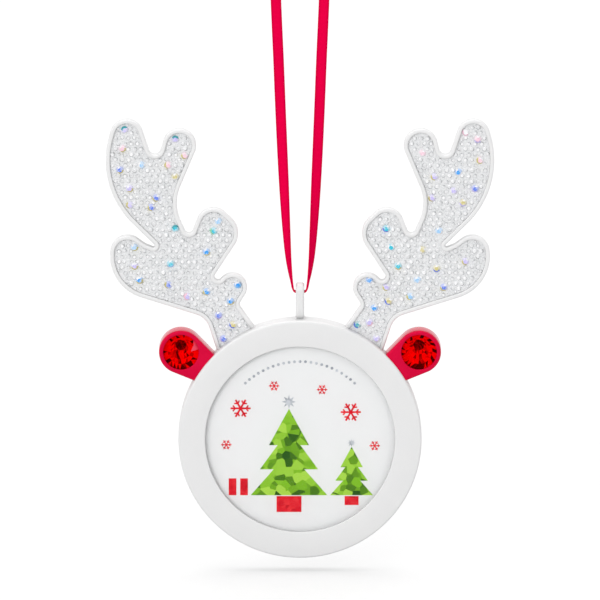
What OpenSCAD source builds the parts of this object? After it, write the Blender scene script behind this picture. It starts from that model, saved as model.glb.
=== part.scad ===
// Hanging picture frame ornament: a round frame with pave-set antlers, two red stone ears and a ribbon.
// Every piece is drawn lying on its back, x to the right, y up the picture and z towards the viewer,
// with the ring's centre at the origin. hung() then stands it up under the point it hangs from.

/* [Ring] */
// Outer radius of the ring
ring_r = 25.4; // [24.6:0.1:27]
// Width of the ring's face, from its outer edge to the picture opening
face_w = 5.6; // [5.1:0.1:6.5]
// Depth of the cast body, from its flat back to the front ring
body_depth = 3.0; // [2.9:0.1:3.6]
// Thickness of the front ring
front_ring_t = 1.8; // [1.4:0.1:2.4]
// Rounding of the front ring's outer edge
front_edge_r = 0.45; // [0.3:0.05:0.8]
// Rounding of the front ring's inner edge
lip_edge_r = 0.25; // [0.15:0.05:0.4]
// Bevel on both sides of the seam behind the front ring
seam_bevel = 0.2; // [0.1:0.05:0.3]
// Rounding of the body's back edge
back_edge_r = 0.4; // [0.2:0.1:0.6]

/* [Picture] */
// Width of the front ring's lip over the window, the card and the cover, which share one bore
lip_w = 1.5; // [1.1:0.1:2]
// Thickness of that lip
lip_t = 0.5; // [0.45:0.05:0.8]
// Clearance of the inserts in the bore
insert_gap = 0.2; // [0.1:0.05:0.3]
// Thickness of the clear window
window_t = 0.8; // [0.6:0.1:1.0]
// Thickness of the printed card, a stiff board
card_t = 1.2; // [0.8:0.1:1.6]
// Thickness of the ink on the card
ink_t = 0.05; // [0.04:0.01:0.08]
// Play between the layers in the bore
layer_gap = 0.05; // [0.03:0.01:0.08]
// How far the cover lies inside the flat back
cover_recess = 0.1; // [0.05:0.05:0.2]
// Radius of the fingernail notch in the cover's edge
notch_r = 3.2; // [2.4:0.1:4]
// Depth of the fingernail notch
notch_depth = 1.6; // [1.2:0.1:2]

/* [Print] */
// Width of the large fir
fir_w = 16; // [13:0.5:17]
// Height of the large fir
fir_h = 18.5; // [15:0.5:20]
// Size of the small fir as a share of the large one
small_fir = 0.56; // [0.45:0.01:0.6]
// Width of the large fir's pot
pot_w = 5.2; // [4:0.2:6]
// Height of the large fir's pot
pot_h = 3.4; // [2.4:0.2:4]
// Radius of the star on the large fir
star_r = 1.5; // [1:0.1:1.8]
// Width of the gift
gift_w = 4; // [3.4:0.2:4.6]
// Height of the gift
gift_h = 3.6; // [3:0.2:4.6]
// Width of the bare band round the gift
gift_band = 0.8; // [0.5:0.1:1.2]
// Bare line between a fir and its pot
ink_line = 0.2; // [0.1:0.05:0.4]
// Space between the things that stand side by side
print_gap = 0.6; // [0.4:0.1:1]
// Radius of the arc of dots
dot_arc_r = 16.4; // [15:0.1:17.5]
// Radius of a dot
dot_r = 0.3; // [0.2:0.05:0.4]
// Bare border between the print and the card's edge
print_margin = 0.5; // [0.3:0.1:1]

/* [Antlers] */
// Angle of each antler's foot round the ring
antler_angle = 58; // [55:1:61]
// Thickness of the antler plates
antler_t = 2.8; // [2.5:0.1:2.9]
// Width of the raised rim
rim_w = 0.85; // [0.6:0.05:1.05]
// Depth of the recess inside the rim
recess_depth = 1.1; // [0.9:0.1:1.4]
// Thickness of the resin bed that holds the stones
bed_t = 0.5; // [0.3:0.1:0.7]
// Clearance between the bed and the recess's wall
bed_gap = 0.02; // [0.01:0.01:0.05]
// How far the plates run on under the ring's edge
antler_sink = 1; // [0.8:0.1:1.4]

/* [Pave stones] */
// Distance from one clear stone to the next
stone_pitch = 1.32; // [1.26:0.02:1.6]
// Smallest radius of a clear stone
stone_r_min = 0.42; // [0.36:0.02:0.46]
// Largest radius of a clear stone
stone_r_max = 0.58; // [0.5:0.02:0.6]
// Radius of a coloured aurora stone
aurora_r = 0.62; // [0.54:0.02:0.7]
// Least space between two stones
stone_gap = 0.03; // [0.02:0.01:0.06]
// Height of a stone as a share of its radius
stone_rise = 0.8; // [0.6:0.05:0.95]
// Width of a stone's flat top as a share of its radius
stone_table = 0.5; // [0.4:0.05:0.6]
// Smallest share of the least radius to which a crowded stone may shrink
stone_squeeze = 0.85; // [0.8:0.05:1]

/* [Ears] */
// Angle of each ear's middle round the ring
ear_angle = 36.8; // [35:0.1:37.5]
// Distance from the ring's edge to the middle of the ear stone
ear_reach = 5.6; // [5.5:0.1:6.2]
// Outer radius of the round setting
ear_r = 4.6; // [4.5:0.05:4.8]
// Depth of the setting
ear_depth = 4.4; // [4.3:0.1:4.8]
// Half the width of the setting where it meets the ring
ear_foot = 3; // [2.8:0.1:3.6]
// How much further up the ring the setting's foot stands than its middle
ear_lean = 0.3; // [0:0.1:0.4]
// Radius of the setting's two corners behind the ring's edge
ear_corner_r = 0.2; // [0.1:0.05:0.3]
// Distance from those corners out to the ring's edge
ear_sink = 1.5; // [1.2:0.1:1.8]
// Radius of the ear stone's girdle
ear_stone_r = 4.05; // [3.95:0.05:4.1]
// Radius of the lip that holds the stone
ear_lip_r = 3.7; // [3.6:0.05:3.75]
// Height of the stone above its girdle
ear_crown = 1.15; // [1:0.05:1.3]
// Height of the stone's girdle
ear_girdle = 0.15; // [0.1:0.05:0.2]
// Depth of the stone below its girdle
ear_pavilion = 2.6; // [2.3:0.1:2.7]
// Thickness of the lip above the girdle's edge
ear_lip_t = 0.75; // [0.7:0.05:0.85]
// Clearance of a stone in its setting, and of the setting on the ring
seat_gap = 0.04; // [0.02:0.01:0.06]

/* [Hanging eye] */
// Height of the eye above the ring
eye_h = 7.5; // [7:0.1:9]
// Width of the eye from front to back
eye_w = 3.0; // [2.8:0.1:3.0]
// Thickness of the eye from side to side
eye_t = 1.75; // [1.5:0.05:2]
// Radius of the hole's round ends
eye_hole_r = 0.8; // [0.75:0.05:0.85]
// Metal above the hole
eye_top_t = 1.4; // [1.2:0.1:1.6]
// Distance from the ring's edge up to the hole
eye_sill = 0.9; // [0.6:0.1:1.2]
// How deep the eye is rooted in the ring
eye_root = 0.6; // [0.5:0.1:1]
// Radius of the hollow curve in which the eye's sides run out onto the ring
eye_fillet = 0.35; // [0.2:0.05:0.5]
// Distance of the eye in front of the flat back
eye_setback = 0.1; // [0.05:0.05:0.2]

/* [Ribbon] */
// Width of the ribbon
ribbon_w = 2.05; // [1.8:0.05:2.3]
// Width of the ribbon where it is gathered in the eye
ribbon_eye_w = 1.4; // [1.2:0.05:1.45]
// Thickness of the ribbon
ribbon_t = 0.34; // [0.2:0.02:0.4]
// Width of the knot
knot_w = 2.6; // [2.4:0.1:3]
// Height of the knot
knot_h = 2.2; // [2:0.1:2.6]
// Thickness of the knot from front to back
knot_t = 2.4; // [2.2:0.1:2.8]
// Length of each ribbon tail above the knot
tail_l = 4.5; // [3:0.5:7]
// Lean of each tail to its side
tail_tilt = 16; // [10:1:24]

/* [Hidden] */
white = "whitesmoke";
red = "crimson";
bite = 1;
smooth = 96;
small_smooth = 48;
dot_smooth = 16;
facet_sag = 0.03;
facet_turn = 24;

// The picture opening, and the inserts behind the front ring's lip
opening_r = ring_r - face_w;
insert_r = opening_r + lip_w;
bore_r = insert_r + insert_gap;

// Heights above the flat back
face_z = body_depth + front_ring_t;
window_z = face_z - lip_t - window_t;
card_z = window_z - layer_gap - ink_t - card_t;
cover_top_z = card_z - layer_gap;
recess_z = antler_t - recess_depth;
bed_top_z = recess_z + bed_t;
ear_girdle_z = ear_depth - ear_lip_t;
eye_z = eye_w / 2 + eye_setback;

// The eye's hole, and its width where its round foot meets the ring
eye_top = ring_r + eye_h;
eye_hole_top = eye_top - eye_top_t;
eye_hole_low = ring_r + eye_sill;
eye_foot_w = 2 * sqrt(eye_root * (eye_w - eye_root));

// The hanging point is the underside of the knot, over the ring's centre
knot_y = 102;
hang_drop = knot_y - knot_h / 2;

// Cut of the small stones: sides of a clear one and of an aurora one
clear_sides = 5;
aurora_sides = 6;

// Cut of the ear stones: main facets, then radii as shares of the girdle's and heights as shares of the
// crown's or the pavilion's
mains = 8;
table_share = 0.52;
star_share = 0.76;
star_rise = 0.62;
mid_share = 0.42;
mid_drop = 0.62;

// Outline of the right antler, measured from its foot on the ring's edge. Each row is a circle that
// the outline turns on, [x, y, radius]: the radius is negative where the circle lies outside the metal.
ANTLER = [
    [2.5, -5.5, 0.5],
    [9.3, 0.9, -4],
    [16.85, 17.2, 9.25],
    [22.45, 17.95, 3.6],
    [17.5, 22, -2.6],
    [17.1, 19.4, -0.35],
    [8.1, 37.5, 18.85],
    [22.6, 42.75, 3.45],
    [16.75, 40, -1.25],
    [11.65, 40.7, 3.5],
    [2.7, 28.4, -9.5],
    [9.7, 22.95, -0.9],
    [4.6, 23.85, 3.55],
    [3.8, 22, 4.35],
    [3.6, 12.85, -0.8],
    [0.6, 10.5, 3],
    [-2.1, 6.9, -1.2],
    [-5.2, -0.5, 0.5]
];

// Where the photograph shows the aurora stones, read by eye in its pixels, [across, down]
SEEN_RIGHT = [
    [464, 134], [477.5, 140], [421, 154], [479, 162], [434, 177], [458, 174], [475, 189],
    [453, 192], [431.6, 200], [463.5, 204], [387, 230], [438, 231], [391, 249], [421, 250],
    [398.5, 268], [436, 269], [466, 263], [368, 282], [418, 282], [387, 289], [443, 289],
    [411, 296.5], [389, 302], [374, 310], [369, 323], [358, 326], [377, 339.5]
];
SEEN_LEFT = [
    [125, 132], [175, 139.5], [124, 149], [185, 157.5], [142, 165], [169, 166], [121, 170],
    [175, 179], [129, 190], [156, 200], [129, 205], [152, 209], [175, 229], [218, 222],
    [213.5, 232], [134.6, 249], [205.7, 252], [170, 264], [134, 268], [140, 280.5], [169, 285],
    [237, 285], [206, 292], [187.6, 296.5], [231, 302.5], [220, 316], [234, 325], [224, 339.5]
];
// In the same pixels, the picture's middle line, and each antler's foot: how far beside that line, and
// how far down. Then what a pixel measures across and up the ornament
SEEN_MIDDLE = 300;
SEEN_FOOT = [64.38, 337.34];
SEEN_SCALE = [0.2083, 0.2132];
// The reading is good to about half a millimetre
SEEN_STEP = 0.5;

// Places of the aurora stones, measured from the antler's foot
function from_foot(seen) = [
    for (p = seen)
        let(
            x = (abs(p.x - SEEN_MIDDLE) - SEEN_FOOT.x) * SEEN_SCALE.x,
            y = (SEEN_FOOT.y - p.y) * SEEN_SCALE.y
        )
        [round(x / SEEN_STEP), round(y / SEEN_STEP)] * SEEN_STEP
];
AURORA_RIGHT = from_foot(SEEN_RIGHT);
AURORA_LEFT = from_foot(SEEN_LEFT);

// Right half of the ribbon's route, from the middle of the eye up to the knot.
// In the eye each row is [x, y above the hole's top, twist]; above it, [x, y above the ring's centre,
// twist], where twist 0 shows the ribbon's edge and 90 its face.
RIBBON_EYE = [[0, -0.55, 0], [0.9, -0.53, 0], [1.3, -0.3, 4], [1.52, 0.3, 8], [1.7, 1.4, 11]];
RIBBON_UP = [
    [2, 34.7, 16], [2.4, 38, 28], [2.7, 42, 39], [3.05, 48, 52], [3.35, 54, 65],
    [3.72, 62, 75], [4.1, 71, 82], [4.45, 80, 88], [4.8, 88, 90], [5, 93.5, 90],
    [4.85, 96.5, 90], [4.2, 99.4, 90], [3, 101.3, 90]
];

// Corners of the ribbon's section, as shares of half its width and half its thickness
BAND = [[1, 0.4], [0.9, 1], [-0.9, 1], [-1, 0.4], [-1, -0.4], [-0.9, -1], [0.9, -1], [1, -0.4]];

// Layout of the print, from the middle of the picture. Each flake is [x, y, radius]
GROUND_Y = -12.2;
FIR_X = -2.3;
FLAKES = [
    [-12.4, 6.4, 2.1], [10.6, 5.6, 2.1], [4.6, 10.4, 1.1],
    [-5.4, 11.2, 1.1], [15.6, -1.6, 1.1], [-15.4, -1.4, 1.1]
];
// Boughs of a fir: [width, foot, tip], as shares of the fir's size
BOUGHS = [[0.52, 0.58, 1], [0.76, 0.3, 0.76], [1, 0, 0.5]];
// Dots of the arc, in degrees round the picture
DOT_ANGLES = [46:4:134];

// Turn from one heading to another, going the way that the circle bulges
function swing(from, to, bulge) =
    let(turn = (to - from) % 360, up = turn < 0 ? turn + 360 : turn)
    bulge > 0 ? up : up - 360;

// Heading of the straight line that touches two circles of a chain, also where one just touches the
// other from inside and rounding takes the share past 1
function heading(a, b) =
    let(share = (b[2] - a[2]) / norm([b.x - a.x, b.y - a.y]))
    atan2(b.y - a.y, b.x - a.x) - asin(max(-1, min(1, share)));

// Largest turn between two points of an arc that keeps it within facet_sag of the circle
function arc_step(r) = min(facet_turn, 2 * acos(1 - facet_sag / max(abs(r), facet_sag)));

// Outline that runs round a chain of circles like a belt, moved inwards by inset
function belt(chain, inset = 0) = [
    for (i = [0:len(chain) - 1])
        let(
            c = chain[i],
            before = heading(chain[(i + len(chain) - 1) % len(chain)], c),
            turn = swing(before, heading(c, chain[(i + 1) % len(chain)]), c[2]),
            steps = max(1, ceil(abs(turn) / arc_step(c[2]))),
            r = c[2] - inset
        )
        for (k = [0:steps])
            let(a = before + turn * k / steps + 90)
            [c.x - r * cos(a), c.y - r * sin(a)]
];

// Whether a point lies inside an outline
function inside(p, outline) =
    let(n = len(outline))
    len([
        for (i = [0:n - 1])
            let(a = outline[i], b = outline[(i + 1) % n])
            if ((a.y > p.y) != (b.y > p.y) && p.x < a.x + (b.x - a.x) * (p.y - a.y) / (b.y - a.y)) 1
    ]) % 2 == 1;

// Least distance from a point to a list of points
function nearest(p, others) = min([for (q = others) norm([p.x - q.x, p.y - q.y])]);

// Lowest and highest corner of an outline
function corners(outline) =
    let(xs = [for (p = outline) p.x], ys = [for (p = outline) p.y])
    [[min(xs), min(ys)], [max(xs), max(ys)]];

// Outline of one antler's plate, in the ring's own frame
function foot_of_antler() = ring_r * [cos(antler_angle), sin(antler_angle)];
function antler_chain() =
    let(foot = foot_of_antler())
    [for (c = ANTLER) [c.x + foot.x, c.y + foot.y, c[2]]];
function aurora_places(list) = [for (p = list) p + foot_of_antler()];

// Clear stones on a staggered grid with loose places and sizes, clear of the rim, ring and aurora stones
function clear_stones(seed, aurora) =
    let(
        field = belt(antler_chain(), rim_w + bed_gap + stone_r_min),
        box = corners(field),
        row_h = stone_pitch * sqrt(3) / 2,
        rows = ceil((box[1].y - box[0].y) / row_h),
        columns = ceil((box[1].x - box[0].x) / stone_pitch),
        dice = rands(0, 1, 4 * rows * columns, seed)
    )
    [
        for (j = [0:rows - 1])
            for (i = [0:columns - 1])
                let(
                    k = 4 * (j * columns + i),
                    share = dice[k],
                    r = stone_r_min + share * (stone_r_max - stone_r_min),
                    play = max(0, stone_pitch / 2 - r - stone_gap / 2),
                    slip = play * dice[k + 1],
                    way = 360 * dice[k + 2],
                    x = box[0].x + (i + (j % 2) / 2) * stone_pitch + slip * cos(way),
                    y = box[0].y + (j + 1 / 2) * row_h + slip * sin(way),
                    room = nearest([x, y], aurora) - aurora_r - stone_gap,
                    fit_r = min(r, room, norm([x, y]) - ring_r - seat_gap)
                )
                if (fit_r >= stone_r_min * stone_squeeze && inside([x, y], field))
                    [x, y, fit_r, 360 * dice[k + 3]]
    ];

// Cut stones standing on the bed: each row is [x, y, radius, turn], as one mesh of separate solids
module cut_stones(stones, sides) {
    points = [
        for (s = stones)
            for (level = [0, 1])
                for (k = [0:sides - 1])
                    let(
                        r = s[2] * (level == 0 ? 1 : stone_table),
                        a = s[3] + 360 * (k + level / 2) / sides
                    )
                    [s.x + r * cos(a), s.y + r * sin(a), level * s[2] * stone_rise]
    ];
    faces = [
        for (i = [0:len(stones) - 1])
            let(low = 2 * sides * i, high = low + sides)
            each [
                [for (k = [0:sides - 1]) low + k],
                [for (k = [sides - 1:-1:0]) high + k],
                for (k = [0:sides - 1]) [low + k, high + k, low + (k + 1) % sides],
                for (k = [0:sides - 1]) [high + k, high + (k + 1) % sides, low + (k + 1) % sides]
            ]
    ];
    polyhedron(points, faces);
}

// Ring of points round the z axis
function ring_of(count, radius, turn, z) = [
    for (k = [0:count - 1])
        let(a = 360 * k / count + turn)
        [radius * cos(a), radius * sin(a), z]
];

// Round brilliant with its girdle's top at z = 0. Its girdle has two corners for each main facet
module brilliant(r, crown, girdle, pavilion) {
    n = mains;
    table = ring_of(n, r * table_share, 0, crown);
    star = ring_of(n, r * star_share, 180 / n, crown * star_rise);
    top = ring_of(2 * n, r, 0, 0);
    low = ring_of(2 * n, r, 0, -girdle);
    mid = ring_of(n, r * mid_share, 0, -girdle - pavilion * mid_drop);
    culet = [[0, 0, -girdle - pavilion]];
    s0 = n;
    g0 = 2 * n;
    l0 = 4 * n;
    m0 = 6 * n;
    tip = 7 * n;
    faces = [
        [for (k = [n - 1:-1:0]) k],
        for (k = [0:n - 1]) [k, (k + 1) % n, s0 + k],
        for (k = [0:n - 1]) [k, s0 + k, g0 + 2 * k],
        for (k = [0:n - 1]) [k, g0 + 2 * k, s0 + (k + n - 1) % n],
        for (k = [0:n - 1]) [s0 + k, g0 + 2 * k + 1, g0 + 2 * k],
        for (k = [0:n - 1]) [s0 + k, g0 + (2 * k + 2) % (2 * n), g0 + 2 * k + 1],
        for (k = [0:2 * n - 1]) [g0 + k, g0 + (k + 1) % (2 * n), l0 + k],
        for (k = [0:2 * n - 1]) [l0 + k, g0 + (k + 1) % (2 * n), l0 + (k + 1) % (2 * n)],
        for (k = [0:n - 1]) [l0 + 2 * k, l0 + 2 * k + 1, m0 + k],
        for (k = [0:n - 1]) [l0 + 2 * k + 1, m0 + (k + 1) % n, m0 + k],
        for (k = [0:n - 1]) [l0 + 2 * k + 1, l0 + (2 * k + 2) % (2 * n), m0 + (k + 1) % n],
        for (k = [0:n - 1]) [m0 + k, m0 + (k + 1) % n, tip]
    ];
    polyhedron(concat(table, star, top, low, mid, culet), faces);
}

// Stands the flat drawing up: y becomes up, z becomes forward, and the hanging point is the origin,
// in the middle plane of the hanging eye
module hung() {
    translate([0, eye_z, -hang_drop]) rotate([90, 0, 0]) children();
}

// The right side as drawn, or its mirror image on the left
module on_side(left) {
    mirror([left ? 1 : 0, 0, 0]) children();
}

// Piece cut from the corner of a square profile at x, y to leave it rounded to r
module corner_cut(x, y, r, turn) {
    translate([x, y]) rotate(turn) difference() {
        translate([-bite, -bite]) square(r + bite);
        translate([r, r]) circle(r, $fn = small_smooth);
    }
}

// Flat stadium, taller than wide, from low to high along y
module stadium(r, low, high) {
    translate([0, low + r]) circle(r, $fn = small_smooth);
    translate([0, high - r]) circle(r, $fn = small_smooth);
    translate([-r, low + r]) square([2 * r, high - low - 2 * r]);
}

// Cast body

module body_ring() {
    rotate_extrude($fn = smooth) difference() {
        translate([bore_r, 0]) square([ring_r - bore_r, body_depth]);
        corner_cut(ring_r, 0, back_edge_r, 90);
        translate([ring_r, body_depth]) rotate(45) square(seam_bevel * sqrt(2), center = true);
    }
}

module antler_plate() {
    difference() {
        linear_extrude(antler_t) polygon(belt(antler_chain()));
        translate([0, 0, -bite]) cylinder(r = ring_r - antler_sink, h = antler_t + 2 * bite, $fn = smooth);
        difference() {
            translate([0, 0, recess_z]) linear_extrude(antler_t) polygon(belt(antler_chain(), rim_w));
            translate([0, 0, -bite]) cylinder(r = ring_r, h = antler_t + 3 * bite, $fn = smooth);
        }
    }
}

module hanging_eye() {
    difference() {
        translate([0, 0, eye_z]) rotate([0, -90, 0]) linear_extrude(eye_t, center = true) difference() {
            stadium(eye_w / 2, ring_r - eye_root, eye_top);
            stadium(eye_hole_r, eye_hole_low, eye_hole_top);
        }
        translate([0, 0, body_depth])
            cylinder(r = ring_r + seat_gap, h = front_ring_t + bite, $fn = smooth);
    }
}

module eye_foot() {
    side = eye_t / 2 + eye_fillet;
    translate([0, 0, eye_z]) linear_extrude(eye_foot_w, center = true) difference() {
        translate([-side, ring_r - eye_root]) square([2 * side, eye_root + eye_fillet]);
        for (way = [-1, 1])
            translate([way * side, ring_r + eye_fillet]) circle(eye_fillet, $fn = small_smooth);
    }
}

module frame_body() {
    color(white) hung() {
        body_ring();
        for (left = [false, true]) on_side(left) antler_plate();
        hanging_eye();
        eye_foot();
    }
}

// Front ring

module front_ring() {
    color(white) hung() rotate_extrude($fn = smooth) difference() {
        translate([opening_r, body_depth]) square([ring_r - opening_r, front_ring_t]);
        translate([opening_r - bite, body_depth - bite])
            square([bore_r - opening_r + bite, front_ring_t - lip_t + bite]);
        corner_cut(ring_r, face_z, front_edge_r, 180);
        corner_cut(opening_r, face_z, lip_edge_r, -90);
        translate([ring_r, body_depth]) rotate(45) square(seam_bevel * sqrt(2), center = true);
    }
}

// Ears

module ear_outline() {
    chain = [
        [ring_r + ear_reach, 0, ear_r],
        [ring_r - ear_sink, ear_lean + ear_foot, ear_corner_r],
        [ring_r - ear_sink, ear_lean - ear_foot, ear_corner_r]
    ];
    polygon(belt(chain));
}

module ear_cavity() {
    crown_slope = ear_crown * star_rise / (ear_stone_r * (1 - star_share));
    lip_z = ear_girdle_z + (ear_stone_r - ear_lip_r) * crown_slope + 2 * seat_gap;
    tip_z = ear_girdle_z - ear_girdle - ear_pavilion;
    rotate_extrude($fn = smooth) polygon([
        [0, tip_z - 2 * seat_gap],
        [ear_stone_r + seat_gap, ear_girdle_z - ear_girdle - seat_gap],
        [ear_stone_r + seat_gap, ear_girdle_z + seat_gap],
        [ear_lip_r, lip_z],
        [ear_lip_r, ear_depth + bite],
        [0, ear_depth + bite]
    ]);
}

module ear_setting(left) {
    color(red) hung() on_side(left) rotate(ear_angle) difference() {
        linear_extrude(ear_depth) ear_outline();
        translate([0, 0, -bite]) cylinder(r = ring_r + seat_gap, h = ear_depth + 2 * bite, $fn = smooth);
        translate([ring_r + ear_reach, 0, 0]) ear_cavity();
    }
}

module ear_crystal(left) {
    color("red") hung() on_side(left)
        rotate(ear_angle) translate([ring_r + ear_reach, 0, ear_girdle_z])
            brilliant(ear_stone_r, ear_crown, ear_girdle, ear_pavilion);
}

// Pave

module stone_bed(left) {
    color("gainsboro") hung() on_side(left) difference() {
        translate([0, 0, recess_z]) linear_extrude(bed_t) polygon(belt(antler_chain(), rim_w + bed_gap));
        cylinder(r = ring_r + bed_gap, h = antler_t, $fn = smooth);
    }
}

module clear_pave(left, seed, aurora) {
    color("white") hung() on_side(left) translate([0, 0, bed_top_z])
        cut_stones(clear_stones(seed, aurora_places(aurora)), clear_sides);
}

module aurora_pave(left, aurora) {
    color("lightskyblue") hung() on_side(left) translate([0, 0, bed_top_z])
        cut_stones([for (p = aurora_places(aurora)) [p.x, p.y, aurora_r, 0]], aurora_sides);
}

// Window, card and print

module window() {
    color("aliceblue", 0.3) hung() translate([0, 0, window_z])
        cylinder(r = insert_r, h = window_t, $fn = smooth);
}

module picture_card() {
    color("white") hung() translate([0, 0, card_z]) cylinder(r = insert_r, h = card_t, $fn = smooth);
}

// A field of ink on the card, trimmed to the card's edge
module ink() {
    hung() translate([0, 0, card_z + card_t]) linear_extrude(ink_t) intersection() {
        children();
        circle(insert_r - print_margin, $fn = smooth);
    }
}

// The small fir stands beside the large one, and the gift on its other side
small_fir_x = FIR_X + (fir_w + small_fir * fir_w) / 2 + print_gap;
gift_x = FIR_X - fir_w / 2 - print_gap - gift_w;

// Fir tree of three boughs, with its foot on the ground line
module fir(x, w, h) {
    translate([x, GROUND_Y])
        for (b = BOUGHS) polygon([[-w * b[0] / 2, h * b[1]], [w * b[0] / 2, h * b[1]], [0, h * b[2]]]);
}

// Pot that a fir stands in, a line of bare card below it
module pot(x, w, h) {
    translate([x - w / 2, GROUND_Y - ink_line - h]) square([w, h]);
}

module star(x, y, r) {
    points = 8;
    waist = 0.45;
    translate([x, y]) polygon([
        for (k = [0:2 * points - 1])
            let(a = 90 + 180 * k / points, d = k % 2 == 0 ? r : r * waist)
            d * [cos(a), sin(a)]
    ]);
}

// Snowflake of six arms, each with a pair of side branches
module snowflake(r) {
    arm_w = 0.18 * r;
    branch_x = 0.55 * r;
    branch_l = 0.36 * r;
    branch_w = 0.14 * r;
    branch_tilt = 55;
    for (a = [0:60:300]) rotate(a) {
        translate([0, -arm_w / 2]) square([r, arm_w]);
        for (way = [-1, 1])
            translate([branch_x, 0]) rotate(way * branch_tilt)
                translate([0, -branch_w / 2]) square([branch_l, branch_w]);
    }
}

module print_green() {
    color("limegreen") ink() {
        fir(FIR_X, fir_w, fir_h);
        fir(small_fir_x, fir_w * small_fir, fir_h * small_fir);
    }
}

module print_red() {
    color("red") ink() {
        for (f = FLAKES) translate([f.x, f.y]) snowflake(f[2]);
        pot(FIR_X, pot_w, pot_h);
        pot(small_fir_x, pot_w * small_fir, pot_h * small_fir);
        difference() {
            translate([gift_x, GROUND_Y]) square([gift_w, gift_h]);
            translate([gift_x + (gift_w - gift_band) / 2, GROUND_Y - bite])
                square([gift_band, gift_h + 2 * bite]);
        }
    }
}

module print_silver() {
    color("silver") ink() {
        for (a = DOT_ANGLES) rotate(a) translate([dot_arc_r, 0]) circle(dot_r, $fn = dot_smooth);
        star(FIR_X, GROUND_Y + fir_h + star_r, star_r);
        star(small_fir_x, GROUND_Y + (fir_h + star_r) * small_fir, star_r * small_fir);
    }
}

// Back cover with a fingernail notch in its lower edge

module back_cover() {
    color(white) hung() difference() {
        translate([0, 0, cover_recess])
            cylinder(r = insert_r, h = cover_top_z - cover_recess, $fn = smooth);
        translate([0, -insert_r - notch_r + notch_depth, -bite])
            cylinder(r = notch_r, h = body_depth + 2 * bite, $fn = smooth);
    }
}

// Ribbon

// Ring of eight points round a route point: a flat band with its width turned by twist
function band(p, along, width, twist) =
    let(
        across = [-along.y, along.x, 0],
        wide = [across.x * sin(twist), across.y * sin(twist), cos(twist)],
        thin = cross([along.x, along.y, 0], wide),
        w = width / 2,
        t = ribbon_t / 2
    )
    [
        for (c = BAND) [p.x, p.y, eye_z] + c[0] * w * wide + c[1] * t * thin
    ];

function unit(v) = v / norm(v);

// Whole route from the knot's left side, down through the eye and up to the knot's right side
function ribbon_route() =
    let(
        half = concat(
            [for (p = RIBBON_EYE) [p.x, eye_hole_top + p.y, ribbon_eye_w, p[2]]],
            [for (p = RIBBON_UP) [p.x, p.y, ribbon_w, p[2]]],
            [[knot_w / 2, knot_y, ribbon_w, 90]]
        ),
        n = len(half)
    )
    concat(
        [for (i = [n - 1:-1:1]) [-half[i].x, half[i].y, half[i][2], half[i][3]]],
        half
    );

module ribbon() {
    route = ribbon_route();
    n = len(route);
    sides = len(BAND);
    rings = [
        for (i = [0:n - 1])
            let(
                ahead = route[min(i + 1, n - 1)],
                behind = route[max(i - 1, 0)],
                along = i == 0 || i == n - 1 ? [-1, 0] : unit([ahead.x - behind.x, ahead.y - behind.y])
            )
            band(route[i], along, route[i][2], route[i][3])
    ];
    points = [for (ring = rings) each ring];
    faces = [
        [for (k = [0:sides - 1]) k],
        [for (k = [sides - 1:-1:0]) sides * (n - 1) + k],
        for (i = [0:n - 2])
            for (k = [0:sides - 1])
                let(a = sides * i + k, b = sides * i + (k + 1) % sides)
                each [[a, a + sides, b], [b, a + sides, b + sides]]
    ];
    color("crimson") hung() polyhedron(points, faces);
}

module ribbon_knot() {
    color("crimson") hung() translate([0, knot_y, eye_z]) {
        cube([knot_w, knot_h, knot_t], center = true);
        for (way = [-1, 1])
            rotate(-way * tail_tilt) translate([-ribbon_w / 2, 0, (way - 1 / 2) * ribbon_t])
                cube([ribbon_w, knot_h / 2 + tail_l, ribbon_t]);
    }
}

frame_body();
front_ring();
ear_setting(false);  // right_ear_setting
ear_setting(true);  // left_ear_setting
ear_crystal(false);  // right_ear_crystal
ear_crystal(true);  // left_ear_crystal
stone_bed(false);  // right_stone_bed
stone_bed(true);  // left_stone_bed
clear_pave(false, 11, AURORA_RIGHT);  // right_clear_stones
clear_pave(true, 23, AURORA_LEFT);  // left_clear_stones
aurora_pave(false, AURORA_RIGHT);  // right_aurora_stones
aurora_pave(true, AURORA_LEFT);  // left_aurora_stones
window();
picture_card();
print_green();
print_red();
print_silver();
back_cover();
ribbon();
ribbon_knot();
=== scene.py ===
"""Looks of a hanging picture frame ornament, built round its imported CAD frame.

Pieces are drawn as the CAD model draws them, lying on their back in millimetres: x to the right, y up the
picture, z towards the viewer, with the ring's centre at the origin. place() then stands them up in metres.
"""

import math
import random

import bmesh
import bpy
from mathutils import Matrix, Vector, kdtree
from mathutils.geometry import delaunay_2d_cdt


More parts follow.
